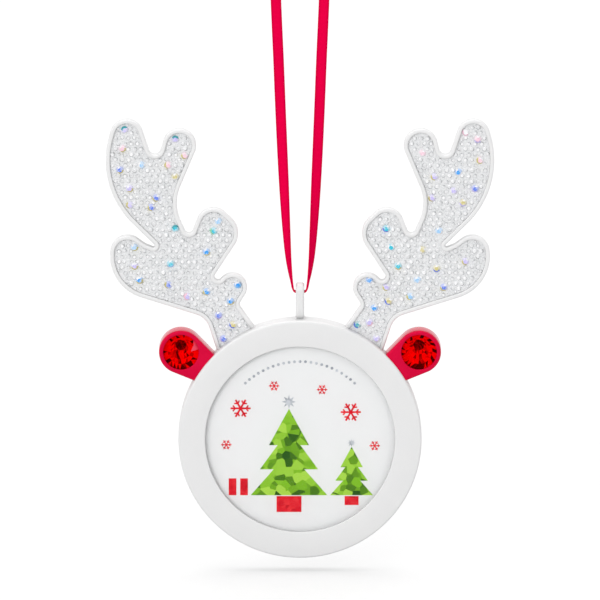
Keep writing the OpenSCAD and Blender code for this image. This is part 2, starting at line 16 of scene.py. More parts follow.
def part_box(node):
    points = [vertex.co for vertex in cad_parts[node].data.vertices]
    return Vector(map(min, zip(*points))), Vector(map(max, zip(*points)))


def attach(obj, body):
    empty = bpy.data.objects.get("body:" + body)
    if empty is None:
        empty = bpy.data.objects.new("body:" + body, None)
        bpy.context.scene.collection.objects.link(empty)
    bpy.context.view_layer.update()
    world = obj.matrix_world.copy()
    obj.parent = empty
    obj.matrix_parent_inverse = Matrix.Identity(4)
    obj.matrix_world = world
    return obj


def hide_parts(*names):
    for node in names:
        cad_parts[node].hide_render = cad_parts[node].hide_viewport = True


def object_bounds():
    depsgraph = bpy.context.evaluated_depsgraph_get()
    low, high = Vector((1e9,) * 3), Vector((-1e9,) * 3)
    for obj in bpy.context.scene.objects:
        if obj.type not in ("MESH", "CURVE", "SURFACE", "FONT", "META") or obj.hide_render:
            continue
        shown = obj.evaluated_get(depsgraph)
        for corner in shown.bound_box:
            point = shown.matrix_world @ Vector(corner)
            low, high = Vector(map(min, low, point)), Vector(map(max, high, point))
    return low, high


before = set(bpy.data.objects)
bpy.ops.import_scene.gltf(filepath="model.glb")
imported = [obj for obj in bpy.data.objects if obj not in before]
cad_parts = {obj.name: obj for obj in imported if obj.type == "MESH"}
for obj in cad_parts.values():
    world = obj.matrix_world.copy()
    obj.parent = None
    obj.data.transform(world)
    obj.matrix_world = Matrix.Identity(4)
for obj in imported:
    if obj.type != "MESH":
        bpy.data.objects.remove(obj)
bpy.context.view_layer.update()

MM = 0.001
BODY = "frame"
SIDES = {"right": 1, "left": -1}

# Sizes read from the frame, in millimetres
_, body_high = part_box("frame_body")
ring_low, ring_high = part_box("front_ring")
BACK_Y = body_high.y / MM
DROP = -(ring_low.z + ring_high.z) / 2 / MM
RING_R = (ring_high.x - ring_low.x) / 2 / MM
FACE_Z = BACK_Y - ring_low.y / MM
BODY_DEPTH = BACK_Y - ring_high.y / MM

# Sizes that the pieces share, in millimetres
OPENING_R = 19.8
BORE_R = 21.5
LIP_T = 0.5
SEAM_BEVEL = 0.2
ANTLER_ANGLE = 58
ANTLER_T = 2.8
RIM_W = 0.85
RECESS_Z = 1.7
BED_Z = 2.2
BED_GAP = 0.02
EAR_ANGLE = 36.8
EAR_R = 4.6
EAR_AT = RING_R + 5.6
EAR_FOOT = 3
EAR_LEAN = 0.3
EAR_DEPTH = 4.4
EAR_SINK = 1.5
EAR_FOOT_INSET = 0.4
EAR_FOOT_R = 0.6
SEAT_Z = 4.35
SEAT_T = 0.24
SEAT_W = 3.15
SEAT_SINK = 0.2
SEAT_LOW = 0.2
EAR_LIP_R = 3.7
EAR_LIP_Z = 4.0
EAR_CUP_TIP = (0.02, 0.82)
EAR_STONE_R = 4.05
EAR_STONE_GAP = 0.04
# Facets of each ear stone's crown that get a painted glint of pink gloss
PAINTED_GLINTS = {"right": [], "left": [14, 15, 18]}
GIRDLE_Z = 3.65
CROWN = 1.15
GIRDLE = 0.15
PAVILION = 2.6
EYE_Z = 1.6
EYE_TOP = RING_R + 7.5
EYE_W = 3.0
EYE_T = 1.75
EYE_FILLET = 0.35
EYE_HOLE_R = 0.8
EYE_TOP_T = 1.4
EYE_SINK = 0.6
EYE_HOLE_LOW = 0.9
EYE_FOOT_SINK = 0.5
EYE_FOOT_INSET = 0.1
EYE_FOOT_DEPTH = 1.2
RIBBON_W = 2.2
RIBBON_EYE_W = 1.4
RIBBON_T = 0.34
KNOT_Y = 102
KNOT_SIZE = (2.6, 2.2, 2.4)

# Radii of rounded edges, in millimetres
FRONT_EDGE_R = 0.45
BACK_EDGE_R = 0.4
BORE_EDGE_R = 0.15
WINDOW_EDGE_R = 0.22
LIP_EDGE_R = 0.05
ANTLER_EDGE_R = 0.3
RIM_OUTER_R = 0.28
RIM_INNER_R = 0.2
EYE_EDGE_R = 0.48
EYE_HOLE_EDGE_R = 0.2
SEAT_EDGE_R = 0.12
EAR_BACK_EDGE_R = 0.25
EAR_EDGE_R = 0.42
EAR_LIP_EDGE_R = 0.16

# Circles that the right antler's outline turns on, from its foot on the ring: [x, y, radius], with the
# radius negative where the circle lies outside the metal
ANTLER = [
    [2.5, -5.5, 0.5], [9.3, 0.9, -4], [16.85, 17.2, 9.25], [22.45, 17.95, 3.6], [17.5, 22, -2.6],
    [17.1, 19.4, -0.35], [8.1, 37.5, 18.85], [22.6, 42.75, 3.45], [16.75, 40, -1.25],
    [11.65, 40.7, 3.5], [2.7, 28.4, -9.5], [9.7, 22.95, -0.9], [4.6, 23.85, 3.55],
    [3.8, 22, 4.35], [3.6, 12.85, -0.8], [0.6, 10.5, 3], [-2.1, 6.9, -1.2], [-5.2, -0.5, 0.5],
]

# Route of the ribbon's right half, from the middle of the eye up to the knot: [x, y, twist, width]
EYE_HOLE_TOP = EYE_TOP - EYE_TOP_T
ROUTE = [
    [0, EYE_HOLE_TOP - 0.55, 0, RIBBON_EYE_W], [0.9, EYE_HOLE_TOP - 0.53, 0, RIBBON_EYE_W],
    [1.3, EYE_HOLE_TOP - 0.3, 4, RIBBON_EYE_W], [1.52, EYE_HOLE_TOP + 0.3, 8, RIBBON_EYE_W],
    [1.7, EYE_HOLE_TOP + 1.4, 11, RIBBON_EYE_W],
    [2, 34.7, 16, RIBBON_W], [2.4, 38, 28, RIBBON_W], [2.7, 42, 39, RIBBON_W],
    [3.05, 48, 52, RIBBON_W], [3.35, 54, 65, RIBBON_W], [3.72, 62, 75, RIBBON_W],
    [4.1, 71, 82, RIBBON_W], [4.45, 80, 88, RIBBON_W], [4.8, 88, 90, RIBBON_W],
    [5, 93.5, 90, RIBBON_W], [4.85, 96.5, 90, RIBBON_W], [4.2, 99.4, 90, RIBBON_W],
    [3, 101.3, 90, RIBBON_W], [KNOT_SIZE[0] / 2, KNOT_Y, 90, RIBBON_W],
]


def place(p):
    """A point of the flat drawing, in the row frame."""
    return Vector((p[0], BACK_Y - p[2], p[1] - DROP)) * MM


def flat(v):
    """A point of the row frame, in the flat drawing."""
    return (v[0] / MM, v[2] / MM + DROP, BACK_Y - v[1] / MM)


# Camera

PICTURE_PX = 600
PIXEL_MM = 0.2083
VIEW_MM = PICTURE_PX * PIXEL_MM
CAMERA_ELEVATION = math.radians(12.3)
CAMERA_DISTANCE = 3.0
AIM_Y = 29.85


def make_camera():
    """Long lens in front of the ornament and a little above it."""
    data = bpy.data.cameras.new("camera")
    camera = bpy.data.objects.new("camera", data)
    bpy.context.scene.collection.objects.link(camera)
    aim = place((0, AIM_Y, FACE_Z))
    back = Vector((0, -math.cos(CAMERA_ELEVATION), math.sin(CAMERA_ELEVATION)))
    camera.location = aim + back * CAMERA_DISTANCE
    camera.rotation_euler = (-back).to_track_quat("-Z", "Y").to_euler()
    data.lens = data.sensor_width * CAMERA_DISTANCE / (VIEW_MM * MM)
    data.clip_end = 20
    bpy.context.scene.camera = camera


# Materials


def new_material(name, colour, roughness, **sockets):
    """Principled material; a socket's name is given with _ for its spaces."""
    material = bpy.data.materials.new(name)
    material.use_nodes = True
    shader = material.node_tree.nodes["Principled BSDF"]
    shader.inputs["Base Color"].default_value = (*colour, 1)
    shader.inputs["Roughness"].default_value = roughness
    for socket, value in sockets.items():
        shader.inputs[socket.replace("_", " ")].default_value = value
    return material


def add_node(material, kind, **settings):
    node = material.node_tree.nodes.new(kind)
    for name, value in settings.items():
        setattr(node, name, value)
    return node


def join(material, source, socket, target, to):
    material.node_tree.links.new(source.outputs[socket], target.inputs[to])


def texture(material, kind, scale, **inputs):
    """Noise or Voronoi texture in the object's own space, with its scale in cells for each metre."""
    space = add_node(material, "ShaderNodeTexCoord")
    pattern = add_node(material, kind)
    join(material, space, "Object", pattern, "Vector")
    pattern.inputs["Scale"].default_value = scale
    for name, value in inputs.items():
        pattern.inputs[name].default_value = value
    return pattern


def relief(material, pattern, socket, height):
    """The pattern as bump of that height in metres."""
    bump = add_node(material, "ShaderNodeBump")
    bump.inputs["Distance"].default_value = height
    bump.inputs["Strength"].default_value = 1
    join(material, pattern, socket, bump, "Height")
    join(material, bump, "Normal", material.node_tree.nodes["Principled BSDF"], "Normal")


def ramp(material, pattern, socket, stops):
    """The pattern turned into the base colour, [position, colour] for each stop."""
    colours = add_node(material, "ShaderNodeValToRGB")
    elements = colours.color_ramp.elements
    while len(elements) < len(stops):
        elements.new(0.5)
    for element, (position, colour) in zip(elements, stops):
        element.position = position
        element.color = (*colour, 1)
    join(material, pattern, socket, colours, "Fac")
    join(material, colours, "Color", material.node_tree.nodes["Principled BSDF"], "Base Color")
    return colours


def spread(material, pattern, socket, low, high):
    """The pattern's 0 to 1 as a roughness from low to high."""
    span = add_node(material, "ShaderNodeMapRange")
    span.inputs["To Min"].default_value = low
    span.inputs["To Max"].default_value = high
    join(material, pattern, socket, span, "Value")
    join(material, span, "Result", material.node_tree.nodes["Principled BSDF"], "Roughness")


def paint_corner_shade(m, reach, share):
    """Paints shade into the colour: darkens it by a share where other surfaces stand nearer than reach."""
    shader = m.node_tree.nodes["Principled BSDF"]
    colours = shader.inputs["Base Color"].links[0].from_node
    corner = add_node(m, "ShaderNodeAmbientOcclusion", samples=8)
    corner.inputs["Distance"].default_value = reach
    join(m, colours, "Color", corner, "Color")
    mix = add_node(m, "ShaderNodeMixRGB")
    mix.inputs["Fac"].default_value = share
    join(m, colours, "Color", mix, "Color1")
    join(m, corner, "Color", mix, "Color2")
    join(m, mix, "Color", shader, "Base Color")


def white_lacquer(name, tone):
    """Satin white lacquer on cast metal: a faint flow in its gloss and colour, and painted corner shade."""
    m = new_material(name, (tone, tone, tone), 0.34, Coat_Weight=0.25, Coat_Roughness=0.22)
    cloud = texture(m, "ShaderNodeTexNoise", 180, Detail=4)
    ramp(m, cloud, "Fac", [(0.3, (tone - 0.007, tone - 0.006, tone - 0.003)), (0.7, (tone + 0.007,) * 3)])
    # Painted shade: the colour darkens where surfaces stand close together
    paint_corner_shade(m, 0.0025, 0.5)
    spread(m, cloud, "Fac", 0.28, 0.4)
    relief(m, texture(m, "ShaderNodeTexNoise", 1600, Detail=3), "Fac", 0.000012)
    return m


def red_lacquer():
    """Gloss red lacquer of the ear settings."""
    m = new_material("red_lacquer", (0.66, 0.004, 0.045), 0.14, Specular_Tint=(1.0, 0.03, 0.1, 1))
    cloud = texture(m, "ShaderNodeTexNoise", 260, Detail=4)
    ramp(m, cloud, "Fac", [(0.3, (0.62, 0.003, 0.04)), (0.7, (0.7, 0.005, 0.05))])
    spread(m, cloud, "Fac", 0.12, 0.24)
    relief(m, texture(m, "ShaderNodeTexNoise", 1400, Detail=3), "Fac", 0.00001)
    return m


def facet_tint(m, stops):
    """Colour of each facet, from its own tint."""
    tint = add_node(m, "ShaderNodeAttribute", attribute_name="tint")
    ramp(m, tint, "Fac", stops)


def clear_crystal():
    """Small foiled clear stones: each facet's tint paints its reflection and shade, lighter or darker."""
    m = new_material("clear_crystal", (0.9, 0.91, 0.92), 0.12, Specular_IOR_Level=0.8)
    facet_tint(m, [(0.0, (0.5, 0.51, 0.52)), (0.3, (0.74, 0.75, 0.76)), (1.0, (0.97, 0.97, 0.98))])
    relief(m, texture(m, "ShaderNodeTexNoise", 3000, Detail=2), "Fac", 0.00001)
    return m


def aurora_crystal():
    """Coated stones whose facets show their coating's colours and painted highlights."""
    m = new_material("aurora_crystal", (0.6, 0.75, 1.0), 0.12, Specular_IOR_Level=0.3)
    hue = add_node(m, "ShaderNodeAttribute", attribute_name="hue")
    join(m, hue, "Color", m.node_tree.nodes["Principled BSDF"], "Base Color")
    relief(m, texture(m, "ShaderNodeTexNoise", 3000, Detail=2), "Fac", 0.00001)
    return m


def see_through(m, colour, ior, share=None):
    """Lets the material be seen through in that colour, with its own gloss by angle and by a share."""
    nodes = m.node_tree.nodes
    clear = add_node(m, "ShaderNodeBsdfTransparent")
    clear.inputs["Color"].default_value = (*colour, 1)
    edge = add_node(m, "ShaderNodeFresnel")
    edge.inputs["IOR"].default_value = ior
    mix = add_node(m, "ShaderNodeMixShader")
    if share:
        most = add_node(m, "ShaderNodeMath", operation="MAXIMUM")
        join(m, edge, "Fac", most, 0)
        join(m, share, 0, most, 1)
        join(m, most, "Value", mix, 0)
    else:
        join(m, edge, "Fac", mix, 0)
    join(m, clear, "BSDF", mix, 1)
    join(m, nodes["Principled BSDF"], "BSDF", mix, 2)
    join(m, mix, "Shader", nodes["Material Output"], "Surface")


def red_crystal():
    """Red glass of the ear stones' crowns; a facet's tint is its share of painted glare, lit pink gloss."""
    m = new_material("red_crystal", (0.95, 0.06, 0.14), 0.04, IOR=1.5)
    relief(m, texture(m, "ShaderNodeTexNoise", 900, Detail=2), "Fac", 0.000002)
    painted_glare = add_node(m, "ShaderNodeAttribute", attribute_name="tint")
    part = add_node(m, "ShaderNodeMath", operation="MULTIPLY")
    join(m, painted_glare, "Fac", part, 0)
    part.inputs[1].default_value = 0.75
    see_through(m, (1.0, 0.04, 0.04), 1.06, part)
    return m


def red_foil():
    """Foil behind the ear stones' crowns, brighter or darker from facet to facet: painted reflection and
    shade.
    """
    m = new_material("red_foil", (0.9, 0.0, 0.0), 0.3, Specular_Tint=(1.0, 0.0, 0.0, 1))
    facet_tint(m, [(0.0, (0.003, 0.0, 0.0)), (0.25, (0.09, 0.0, 0.004)), (0.5, (0.5, 0.0, 0.0)),
                   (1.0, (1.0, 0.0, 0.0))])
    relief(m, texture(m, "ShaderNodeTexNoise", 900, Detail=2), "Fac", 0.000004)
    return m


def stone_resin():
    """Resin bed between the stones, with fine glitter."""
    m = new_material("stone_resin", (0.7, 0.71, 0.72), 0.3, Coat_Weight=0.6, Coat_Roughness=0.1)
    cells = texture(m, "ShaderNodeTexVoronoi", 5200)
    ramp(m, cells, "Color", [(0.2, (0.72, 0.73, 0.74)), (0.5, (0.82, 0.83, 0.84)), (0.8, (0.9, 0.9, 0.91))])
    relief(m, cells, "Distance", 0.00008)
    return m


def window_acrylic():
    """Clear window: mostly see-through, with the gloss of its surface."""
    m = new_material("window_acrylic", (1, 1, 1), 0.03, IOR=1.49)
    relief(m, texture(m, "ShaderNodeTexNoise", 120, Detail=2), "Fac", 0.000004)
    see_through(m, (0.99, 0.992, 0.993), 1.12)
    return m


def coated_card():
    """Smooth white card with a faint fibre."""
    m = new_material("coated_card", (0.9, 0.9, 0.9), 0.45, Coat_Weight=0.15, Coat_Roughness=0.3)
    fibre = texture(m, "ShaderNodeTexNoise", 2600, Detail=6, Distortion=1.5)
    ramp(m, fibre, "Fac", [(0.35, (0.892, 0.892, 0.892)), (0.65, (0.908, 0.908, 0.908))])
    spread(m, fibre, "Fac", 0.4, 0.55)
    relief(m, fibre, "Fac", 0.000006)
    return m


def facet_ink(name, scale, stops):
    """Print whose colours change from patch to patch, like cut glass."""
    m = new_material(name, stops[1][1], 0.4, Specular_IOR_Level=0.1)
    patches = texture(m, "ShaderNodeTexVoronoi", scale, Randomness=1.0)
    ramp(m, patches, "Color", stops)
    spread(m, texture(m, "ShaderNodeTexNoise", 2600, Detail=4), "Fac", 0.3, 0.45)
    return m


def satin_ribbon():
    """Woven satin: fine ribs across it, and painted shade in a band near each edge."""
    m = new_material("satin_ribbon", (0.83, 0.0, 0.055), 0.5, Specular_IOR_Level=0.0, Sheen_Weight=0.1,
                     Sheen_Roughness=0.4, Sheen_Tint=(1.0, 0.0, 0.15, 1))
    along = add_node(m, "ShaderNodeUVMap")
    ribs = add_node(m, "ShaderNodeTexWave", wave_type="BANDS", bands_direction="X", wave_profile="SIN")
    ribs.inputs["Scale"].default_value = 1.2
    ribs.inputs["Distortion"].default_value = 0.6
    ribs.inputs["Detail"].default_value = 2
    join(m, along, "UV", ribs, "Vector")
    weave = ramp(m, ribs, "Fac", [(0.0, (0.78, 0.0, 0.052)), (1.0, (0.92, 0.001, 0.07))])
    across = add_node(m, "ShaderNodeSeparateXYZ")
    join(m, along, "UV", across, "Vector")
    # Painted shade: darker bands near both edges of each side of the ribbon
    face = [(0.0, 0.9), (0.1, 0.76), (0.17, 1.0), (0.28, 1.0), (0.34, 0.76), (0.44, 0.9)]
    painted_edge_shade = ramp(m, across, "Y", [(at + half, (tone,) * 3) for half in (0.0, 0.5) for at, tone in face])
    both = add_node(m, "ShaderNodeMixRGB", blend_type="MULTIPLY")
    both.inputs["Fac"].default_value = 1
    join(m, weave, "Color", both, "Color1")
    join(m, painted_edge_shade, "Color", both, "Color2")
    join(m, both, "Color", m.node_tree.nodes["Principled BSDF"], "Base Color")
    spread(m, ribs, "Fac", 0.36, 0.5)
    relief(m, ribs, "Fac", 0.00003)
    return m


MATERIALS = {
    "white_lacquer": white_lacquer("white_lacquer", 0.79),
    # The antlers' lacquer is a lighter copy of the white: painted light on the antler plates
    "antler_lacquer": white_lacquer("antler_lacquer", 0.81),
    "red_lacquer": red_lacquer(),
    "red_crystal": red_crystal(),
    "red_foil": red_foil(),
    "clear_crystal": clear_crystal(),
    "aurora_crystal": aurora_crystal(),
    "stone_resin": stone_resin(),
    "window_acrylic": window_acrylic(),
    "coated_card": coated_card(),
    "green_ink": facet_ink("green_ink", 620, [(0.15, (0.02, 0.1, 0.005)), (0.45, (0.24, 0.55, 0.02)),
                                               (0.85, (0.45, 0.75, 0.08))]),
    "red_ink": facet_ink("red_ink", 900, [(0.1, (0.55, 0.0, 0.01)), (0.4, (0.78, 0.005, 0.02)),
                                           (0.9, (0.88, 0.03, 0.04))]),
    "silver_ink": facet_ink("silver_ink", 1100, [(0.1, (0.3, 0.32, 0.36)), (0.5, (0.5, 0.52, 0.56)),
                                                  (0.9, (0.72, 0.74, 0.78))]),
    "satin_ribbon": satin_ribbon(),
}


# Mesh building


def piece(name, points, faces, materials, nodes=(), sharp=30, picks=None):
    """Mesh of flat-drawing points, standing for the CAD nodes; picks gives each face's material."""
    mesh = bpy.data.meshes.new(name)
    mesh.from_pydata([place(p) for p in points], [], faces)
    mesh.update()
    obj = bpy.data.objects.new(name, mesh)
    bpy.context.scene.collection.objects.link(obj)
    for key in materials:
        mesh.materials.append(MATERIALS[key])
    if picks:
        mesh.polygons.foreach_set("material_index", picks)
    tidy_mesh(mesh, sharp)
    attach(obj, BODY)
    if nodes:
        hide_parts(*nodes)
    return obj


def tidy_mesh(mesh, sharp):
    """Outward normals, with soft shading across edges flatter than sharp degrees."""
    work = bmesh.new()
    work.from_mesh(mesh)
    bmesh.ops.recalc_face_normals(work, faces=work.faces)
    work.to_mesh(mesh)
    work.free()
    mesh.polygons.foreach_set("use_smooth", [sharp > 0] * len(mesh.polygons))
    if sharp:
        mesh.set_sharp_from_angle(angle=math.radians(sharp))
    mesh.update()


def add_part(into, points, faces):
    """Appends one shell to a growing pair of lists."""
    base = len(into[0])
    into[0].extend(points)
    into[1].extend([[base + i for i in f] for f in faces])


def rounded(corners, steps=5):
    """Closed profile through corners [u, v, radius], each rounded by an arc."""
    out = []
    count = len(corners)
    for i, (u, v, r) in enumerate(corners):
        here = Vector((u, v))
        if r <= 0:
            out.append((u, v))
            continue
        back = (Vector(corners[i - 1][:2]) - here).normalized()
        on = (Vector(corners[(i + 1) % count][:2]) - here).normalized()
        half = back.angle(on) / 2
        centre = here + (back + on).normalized() * (r / math.sin(half))
        first = here + back * (r / math.tan(half)) - centre
        last = here + on * (r / math.tan(half)) - centre
        for k in range(steps + 1):
            turn = first.slerp(last, k / steps, first)
            out.append(tuple(centre + turn.normalized() * r))
    return out


def loft(rings, closed=True):
    """Quads between rings of as many points each; closed joins the last ring to the first."""
    count = len(rings[0])
    points = [p for ring in rings for p in ring]
    faces = []
    for j in range(len(rings) if closed else len(rings) - 1):
        a, b = j * count, (j + 1) % len(rings) * count
        faces.extend([a + k, a + (k + 1) % count, b + (k + 1) % count, b + k] for k in range(count))
    return points, faces


def lathe(profile, steps=288):
    """Closed profile of (radius, z) turned round the z axis."""
    rings = [[(r * math.cos(2 * math.pi * k / steps), r * math.sin(2 * math.pi * k / steps), z)
              for k in range(steps)] for r, z in profile]
    return loft(rings)


def heading(a, b):
    """Heading in degrees of the straight line that touches two circles of a chain."""
    share = (b[2] - a[2]) / math.dist(a[:2], b[:2])
    return math.degrees(math.atan2(b[1] - a[1], b[0] - a[0]) - math.asin(max(-1, min(1, share))))


def belt(chain, inset=0.0, sag=0.004, gap=0.6):
    """Outline round a chain of circles, moved inwards by inset, with as many points at any inset."""
    arcs = []
    for i, (x, y, r) in enumerate(chain):
        before, after = heading(chain[i - 1], chain[i]), heading(chain[i], chain[(i + 1) % len(chain)])
        turn = (after - before) % 360 - (360 if r < 0 else 0)
        step = min(12, 2 * math.degrees(math.acos(1 - sag / max(abs(r), sag))))
        steps = max(1, math.ceil(abs(turn) / step))
        arcs.append([(x, y, r, math.radians(before + turn * k / steps + 90)) for k in range(steps + 1)])

    def at(corner, depth):
        x, y, r, a = corner
        return x - (r - depth) * math.cos(a), y - (r - depth) * math.sin(a)

    out = []
    for arc, following in zip(arcs, arcs[1:] + arcs[:1]):
        out.extend(at(corner, inset) for corner in arc)
        last, first = arc[-1], following[0]
        parts = max(1, math.ceil(math.dist(at(last, 0), at(first, 0)) / gap))
        p, q = at(last, inset), at(first, inset)
        out.extend((p[0] + (q[0] - p[0]) * k / parts, p[1] + (q[1] - p[1]) * k / parts)
                   for k in range(1, parts))
    return out


def cap(outline, z):
    """Triangles that fill an outline at height z."""
    border = [Vector(p) for p in outline]
    points, _, faces, *_ = delaunay_2d_cdt(border, [], [list(range(len(border)))], 1, 1e-5)
    return [(p.x, p.y, z) for p in points], [list(f) for f in faces]


def side_of(points, side):
    """The points as drawn, or mirrored to the left."""
    return [(p[0] * side, *p[1:]) for p in points]


def antler_chain():
    foot = (RING_R * math.cos(math.radians(ANTLER_ANGLE)), RING_R * math.sin(math.radians(ANTLER_ANGLE)))
    return [[x + foot[0], y + foot[1], r] for x, y, r in ANTLER]


def inside(x, y, outline):
    """Whether a point lies inside an outline."""
    hit = False
    for (ax, ay), (bx, by) in zip(outline, outline[1:] + outline[:1]):
        if (ay > y) != (by > y) and x < ax + (bx - ax) * (y - ay) / (by - ay):
            hit = not hit
    return hit


# Frame


def antler_plate(side):
    """Plate with a rounded rim round its recess."""
    chain = antler_chain()
    # rounded() takes these corners as a closed loop, so the back edge leans in towards the recess, and the
    # back stands about 1 mm in front of the CAD plate's
    profile = rounded([(0, 0, ANTLER_EDGE_R), (0, ANTLER_T, RIM_OUTER_R), (RIM_W, ANTLER_T, RIM_INNER_R),
                       (RIM_W, RECESS_Z, 0)])
    rings = [[(x, y, z) for x, y in belt(chain, inset)] for inset, z in profile]
    part = ([], [])
    add_part(part, *loft(rings, closed=False))
    add_part(part, *cap(belt(chain, profile[0][0]), profile[0][1]))
    add_part(part, *cap(belt(chain, profile[-1][0]), profile[-1][1]))
    return side_of(part[0], side), part[1]


def stadium(r, low, high, arc=14, line=8):
    """Outline of a flat stadium along y, as (z, y), the same count of points for any size."""
    out = []
    for k in range(arc + 1):
        a = math.pi * k / arc
        out.append((EYE_Z + r * math.cos(a), high - r + r * math.sin(a)))
    for k in range(1, line):
        out.append((EYE_Z - r, high - r + (low + 2 * r - high) * k / line))
    for k in range(arc + 1):
        a = math.pi * (1 + k / arc)
        out.append((EYE_Z + r * math.cos(a), low + r + r * math.sin(a)))
    for k in range(1, line):
        out.append((EYE_Z + r, low + r + (high - low - 2 * r) * k / line))
    return out


def hanging_eye():
    """Flat eye with rounded edges, standing across the ring's top."""
    outer = stadium(EYE_W / 2, RING_R - EYE_SINK, EYE_TOP)
    inner = stadium(EYE_HOLE_R, RING_R + EYE_HOLE_LOW, EYE_HOLE_TOP)
    half = EYE_T / 2
    profile = rounded([(0, -half, EYE_EDGE_R), (0, half, EYE_EDGE_R), (1, half, EYE_HOLE_EDGE_R),
                       (1, -half, EYE_HOLE_EDGE_R)], steps=7)
    rings = []
    for u, x in profile:
        ring = []
        for (oz, oy), (iz, iy) in zip(outer, inner):
            span = math.dist((oz, oy), (iz, iy))
            share = u / span if u < 0.5 else 1 - (1 - u) / span
            ring.append((x, oy + (iy - oy) * share, oz + (iz - oz) * share))
        rings.append(ring)
    return loft(rings)


def eye_foot():
    """Block at the eye's foot whose sides run out onto the ring in a hollow curve."""
    half, side = EYE_T / 2, EYE_T / 2 + EYE_FILLET
    low, top = RING_R - EYE_FOOT_SINK, RING_R + EYE_FILLET
    turns = [math.radians(a) for a in range(0, 91, 15)]
    curve = [(side - EYE_FILLET * math.sin(a), RING_R + EYE_FILLET * (1 - math.cos(a))) for a in turns]
    outline = [(side, low), *curve, (half - EYE_FOOT_INSET, top), (EYE_FOOT_INSET - half, top),
               *[(-x, y) for x, y in reversed(curve)], (-side, low)]
    front = [(x, y, EYE_Z + EYE_FOOT_DEPTH) for x, y in outline]
    back = [(x, y, EYE_Z - EYE_FOOT_DEPTH) for x, y in outline]
    points, faces = loft([back, front], closed=False)
    count = len(outline)
    return points, faces + [list(range(count)), list(range(count, 2 * count))]


def ear_seat(side):
    """White band between the ring and an ear's foot, which the ear's setting is soldered to."""
    inner, outer = RING_R - SEAT_SINK, RING_R + SEAT_T
    profile = rounded([
        (inner, SEAT_LOW, 0), (inner, SEAT_Z, 0), (outer, SEAT_Z, SEAT_EDGE_R), (outer, SEAT_LOW, 0)])
    low, high = (math.degrees(math.asin((EAR_LEAN + way * SEAT_W) / RING_R)) + EAR_ANGLE for way in (-1, 1))
    steps = 24
    ways = [math.radians(low + (high - low) * k / steps) for k in range(steps + 1)]
    rings = [[(r * math.cos(a), r * math.sin(a), z) for r, z in profile] for a in ways]
    points, faces = loft(rings, closed=False)
    count = len(profile)
    faces += [list(range(count)), list(range(len(points) - count, len(points)))]
    return side_of(points, side), faces


def make_frame_body():
    part = ([], [])
    for side in SIDES.values():
        add_part(part, *antler_plate(side))
    antler_faces = len(part[1])
    add_part(part, *lathe(rounded([
        (BORE_R, 0, BORE_EDGE_R), (RING_R, 0, BACK_EDGE_R), (RING_R, BODY_DEPTH, SEAM_BEVEL),
        (BORE_R, BODY_DEPTH, 0)])))
    for side in SIDES.values():
        add_part(part, *ear_seat(side))
    add_part(part, *hanging_eye())
    add_part(part, *eye_foot())
    # The antler plates take the lighter copy of the lacquer: painted light
    piece("cast_frame", *part, ["white_lacquer", "antler_lacquer"], ["frame_body"],
          picks=[1] * antler_faces + [0] * (len(part[1]) - antler_faces))


def make_front_ring():
    profile = rounded([
        (BORE_R, BODY_DEPTH, LIP_EDGE_R), (RING_R, BODY_DEPTH, SEAM_BEVEL), (RING_R, FACE_Z, FRONT_EDGE_R),
        (OPENING_R, FACE_Z, WINDOW_EDGE_R), (OPENING_R, FACE_Z - LIP_T, LIP_EDGE_R),
        (BORE_R, FACE_Z - LIP_T, 0)], steps=7)
    piece("front_band", *lathe(profile), ["white_lacquer"], ["front_ring"])


# Ears


def turned(points, angle):
    c, s = math.cos(math.radians(angle)), math.sin(math.radians(angle))
    return [(x * c - y * s, x * s + y * c, z) for x, y, z in points]


def ear_setting(side):
    """Setting with a rounded outer edge and a lip round its stone's seat.

    Corners past the ends of its two profiles give their rounded edges a direction and are then dropped.
    """
    chain = [[EAR_AT, 0, EAR_R], [RING_R - EAR_SINK, EAR_LEAN + EAR_FOOT - EAR_FOOT_INSET, EAR_FOOT_R],
             [RING_R - EAR_SINK, EAR_LEAN - EAR_FOOT + EAR_FOOT_INSET, EAR_FOOT_R]]
    wall = rounded([
        (2, 0, 0), (0, 0, EAR_BACK_EDGE_R), (0, EAR_DEPTH, EAR_EDGE_R), (2, EAR_DEPTH, 0)])[1:-1]
    rings = [[(x, y, z) for x, y in belt(chain, inset)] for inset, z in wall]
    seat_r = EAR_STONE_R + EAR_STONE_GAP
    seat = rounded([
        (EAR_LIP_R + 1, EAR_DEPTH, 0), (EAR_LIP_R, EAR_DEPTH, EAR_LIP_EDGE_R), (EAR_LIP_R, EAR_LIP_Z, 0),
        (seat_r, GIRDLE_Z + EAR_STONE_GAP, 0), (seat_r, GIRDLE_Z - GIRDLE - EAR_STONE_GAP, 0),
        (*EAR_CUP_TIP, 0)])[1:]
    ways = [math.atan2(y, x - EAR_AT) for x, y, _ in rings[-1]]
    for r, z in seat:
        rings.append([(EAR_AT + r * math.cos(a), r * math.sin(a), z) for a in ways])
    points, faces = loft(rings, closed=False)
    count = len(ways)
    faces.append(list(range(count)))
    faces.append(list(range(len(points) - count, len(points))))
    return side_of(turned(points, EAR_ANGLE), side), faces


def around(count, radius, turn, z, lift=0.0):
    """Ring of points round the ear stone's axis, moved by lift up the picture."""
    up = math.radians(90 - EAR_ANGLE)
    return [(EAR_AT + radius * math.cos(math.radians(360 * k / count + turn)) + lift * math.cos(up),
             radius * math.sin(math.radians(360 * k / count + turn)) + lift * math.sin(up), z)
            for k in range(count)]


# Cut of the ear stones: the table and the two rings of corners between table, girdle and tip, as shares of
# the stone's radius and of the crown's or the pavilion's height
TABLE_SHARE = 0.52
STAR_SHARE = 0.76
STAR_RISE = 0.62
KEEL_SHARE = 0.42
KEEL_DROP = 0.62
# Rings of corners of their foil, from the girdle inwards: [corners, share of the stone's radius, turn in
# degrees, depth, shift up the picture], and the depth and shift of its middle
FOIL_RINGS = [[32, 0.99, 0, 0, 0], [24, 0.69, 5.6, 0.15, 0.1], [20, 0.53, 0, 0.25, 0.4],
              [16, 0.38, 8, 0.35, 0.85], [12, 0.28, 0, 0.4, 1.3], [12, 0.15, 20, 0.45, 1.4]]
FOIL_MIDDLE = (0.5, 1.45)


